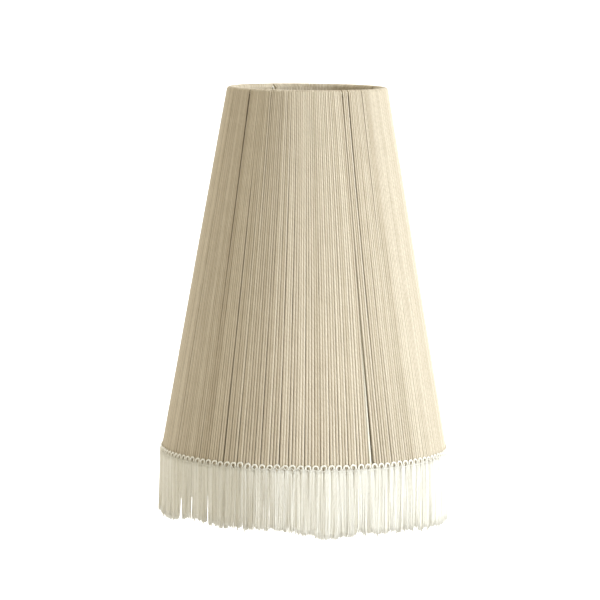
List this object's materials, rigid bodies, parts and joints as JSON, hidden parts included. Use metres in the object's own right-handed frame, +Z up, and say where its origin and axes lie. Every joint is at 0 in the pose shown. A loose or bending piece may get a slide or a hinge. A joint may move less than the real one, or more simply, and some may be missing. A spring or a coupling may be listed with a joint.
{
  "type": "lamp shade",
  "caption": "Conical string lamp shade: yarn wound on a welded wire frame, with a braided heading, a swinging cut fringe and a recessed fitting ring for a lampholder.",
  "frame": {"origin": "centre of the hole in the fitting ring that clamps round the lampholder, at the middle of its plate", "axes": "+Z up along the axis of the shade, through the narrow open top; the first rib is 27.5 degrees round from +X"},
  "size_m": [0.3024, 0.3024, 0.4433],
  "materials": {
    "wire": "satin",
    "yarn": "matte",
    "trim": "silky",
    "threads": "silky",
    "glue": "matte"
  },
  "bodies": {
    "frame_and_winding": {"top_ring": "wire", "bottom_ring": "wire", "fitter_ring": "wire", "glue_line": "glue", "fringe_heading": "trim", "rib_1": "wire", "rib_2": "wire", "rib_3": "wire", "rib_4": "wire", "fitter_arm_1": "wire", "fitter_arm_2": "wire", "fitter_arm_3": "wire", "fitter_arm_4": "wire", "yarn_bay_1": "yarn", "yarn_bay_2": "yarn", "yarn_bay_3": "yarn", "yarn_bay_4": "yarn"},
    "fringe_01": {"fringe_01": "threads"},
    "fringe_02": {"fringe_02": "threads"},
    "fringe_03": {"fringe_03": "threads"},
    "fringe_04": {"fringe_04": "threads"},
    "fringe_05": {"fringe_05": "threads"},
    "fringe_06": {"fringe_06": "threads"},
    "fringe_07": {"fringe_07": "threads"},
    "fringe_08": {"fringe_08": "threads"},
    "fringe_09": {"fringe_09": "threads"},
    "fringe_10": {"fringe_10": "threads"},
    "fringe_11": {"fringe_11": "threads"},
    "fringe_12": {"fringe_12": "threads"},
    "fringe_13": {"fringe_13": "threads"},
    "fringe_14": {"fringe_14": "threads"},
    "fringe_15": {"fringe_15": "threads"},
    "fringe_16": {"fringe_16": "threads"},
    "fringe_17": {"fringe_17": "threads"},
    "fringe_18": {"fringe_18": "threads"},
    "fringe_19": {"fringe_19": "threads"},
    "fringe_20": {"fringe_20": "threads"},
    "fringe_21": {"fringe_21": "threads"},
    "fringe_22": {"fringe_22": "threads"},
    "fringe_23": {"fringe_23": "threads"},
    "fringe_24": {"fringe_24": "threads"}
  },
  "joints": [
    {"name": "swing_01", "type": "hinge", "parent": "frame_and_winding", "child": "fringe_01", "pos_m": [0.14833, 0.01953, -0.3505], "axis": [0.1305, -0.9914, 0], "range_deg": [-10, 30]},
    {"name": "swing_02", "type": "hinge", "parent": "frame_and_winding", "child": "fringe_02", "pos_m": [0.13822, 0.05725, -0.3505], "axis": [0.3827, -0.9239, 0], "range_deg": [-10, 30]},
    {"name": "swing_03", "type": "hinge", "parent": "frame_and_winding", "child": "fringe_03", "pos_m": [0.11869, 0.09108, -0.3505], "axis": [0.6088, -0.7934, 0], "range_deg": [-10, 30]},
    {"name": "swing_04", "type": "hinge", "parent": "frame_and_winding", "child": "fringe_04", "pos_m": [0.09108, 0.11869, -0.3505], "axis": [0.7934, -0.6088, 0], "range_deg": [-10, 30]},
    {"name": "swing_05", "type": "hinge", "parent": "frame_and_winding", "child": "fringe_05", "pos_m": [0.05725, 0.13822, -0.3505], "axis": [0.9239, -0.3827, 0], "range_deg": [-10, 30]},
    {"name": "swing_06", "type": "hinge", "parent": "frame_and_winding", "child": "fringe_06", "pos_m": [0.01953, 0.14833, -0.3505], "axis": [0.9914, -0.1305, 0], "range_deg": [-10, 30]},
    {"name": "swing_07", "type": "hinge", "parent": "frame_and_winding", "child": "fringe_07", "pos_m": [-0.01953, 0.14833, -0.3505], "axis": [0.9914, 0.1305, 0], "range_deg": [-10, 30]},
    {"name": "swing_08", "type": "hinge", "parent": "frame_and_winding", "child": "fringe_08", "pos_m": [-0.05725, 0.13822, -0.3505], "axis": [0.9239, 0.3827, 0], "range_deg": [-10, 30]},
    {"name": "swing_09", "type": "hinge", "parent": "frame_and_winding", "child": "fringe_09", "pos_m": [-0.09108, 0.11869, -0.3505], "axis": [0.7934, 0.6088, 0], "range_deg": [-10, 30]},
    {"name": "swing_10", "type": "hinge", "parent": "frame_and_winding", "child": "fringe_10", "pos_m": [-0.11869, 0.09108, -0.3505], "axis": [0.6088, 0.7934, 0], "range_deg": [-10, 30]},
    {"name": "swing_11", "type": "hinge", "parent": "frame_and_winding", "child": "fringe_11", "pos_m": [-0.13822, 0.05725, -0.3505], "axis": [0.3827, 0.9239, 0], "range_deg": [-10, 30]},
    {"name": "swing_12", "type": "hinge", "parent": "frame_and_winding", "child": "fringe_12", "pos_m": [-0.14833, 0.01953, -0.3505], "axis": [0.1305, 0.9914, 0], "range_deg": [-10, 30]},
    {"name": "swing_13", "type": "hinge", "parent": "frame_and_winding", "child": "fringe_13", "pos_m": [-0.14833, -0.01953, -0.3505], "axis": [-0.1305, 0.9914, 0], "range_deg": [-10, 30]},
    {"name": "swing_14", "type": "hinge", "parent": "frame_and_winding", "child": "fringe_14", "pos_m": [-0.13822, -0.05725, -0.3505], "axis": [-0.3827, 0.9239, 0], "range_deg": [-10, 30]},
    {"name": "swing_15", "type": "hinge", "parent": "frame_and_winding", "child": "fringe_15", "pos_m": [-0.11869, -0.09108, -0.3505], "axis": [-0.6088, 0.7934, 0], "range_deg": [-10, 30]},
    {"name": "swing_16", "type": "hinge", "parent": "frame_and_winding", "child": "fringe_16", "pos_m": [-0.09108, -0.11869, -0.3505], "axis": [-0.7934, 0.6088, 0], "range_deg": [-10, 30]},
    {"name": "swing_17", "type": "hinge", "parent": "frame_and_winding", "child": "fringe_17", "pos_m": [-0.05725, -0.13822, -0.3505], "axis": [-0.9239, 0.3827, 0], "range_deg": [-10, 30]},
    {"name": "swing_18", "type": "hinge", "parent": "frame_and_winding", "child": "fringe_18", "pos_m": [-0.01953, -0.14833, -0.3505], "axis": [-0.9914, 0.1305, 0], "range_deg": [-10, 30]},
    {"name": "swing_19", "type": "hinge", "parent": "frame_and_winding", "child": "fringe_19", "pos_m": [0.01953, -0.14833, -0.3505], "axis": [-0.9914, -0.1305, 0], "range_deg": [-10, 30]},
    {"name": "swing_20", "type": "hinge", "parent": "frame_and_winding", "child": "fringe_20", "pos_m": [0.05725, -0.13822, -0.3505], "axis": [-0.9239, -0.3827, 0], "range_deg": [-10, 30]},
    {"name": "swing_21", "type": "hinge", "parent": "frame_and_winding", "child": "fringe_21", "pos_m": [0.09108, -0.11869, -0.3505], "axis": [-0.7934, -0.6088, 0], "range_deg": [-10, 30]},
    {"name": "swing_22", "type": "hinge", "parent": "frame_and_winding", "child": "fringe_22", "pos_m": [0.11869, -0.09108, -0.3505], "axis": [-0.6088, -0.7934, 0], "range_deg": [-10, 30]},
    {"name": "swing_23", "type": "hinge", "parent": "frame_and_winding", "child": "fringe_23", "pos_m": [0.13822, -0.05725, -0.3505], "axis": [-0.3827, -0.9239, 0], "range_deg": [-10, 30]},
    {"name": "swing_24", "type": "hinge", "parent": "frame_and_winding", "child": "fringe_24", "pos_m": [0.14833, -0.01953, -0.3505], "axis": [-0.1305, -0.9914, 0], "range_deg": [-10, 30]}
  ]
}
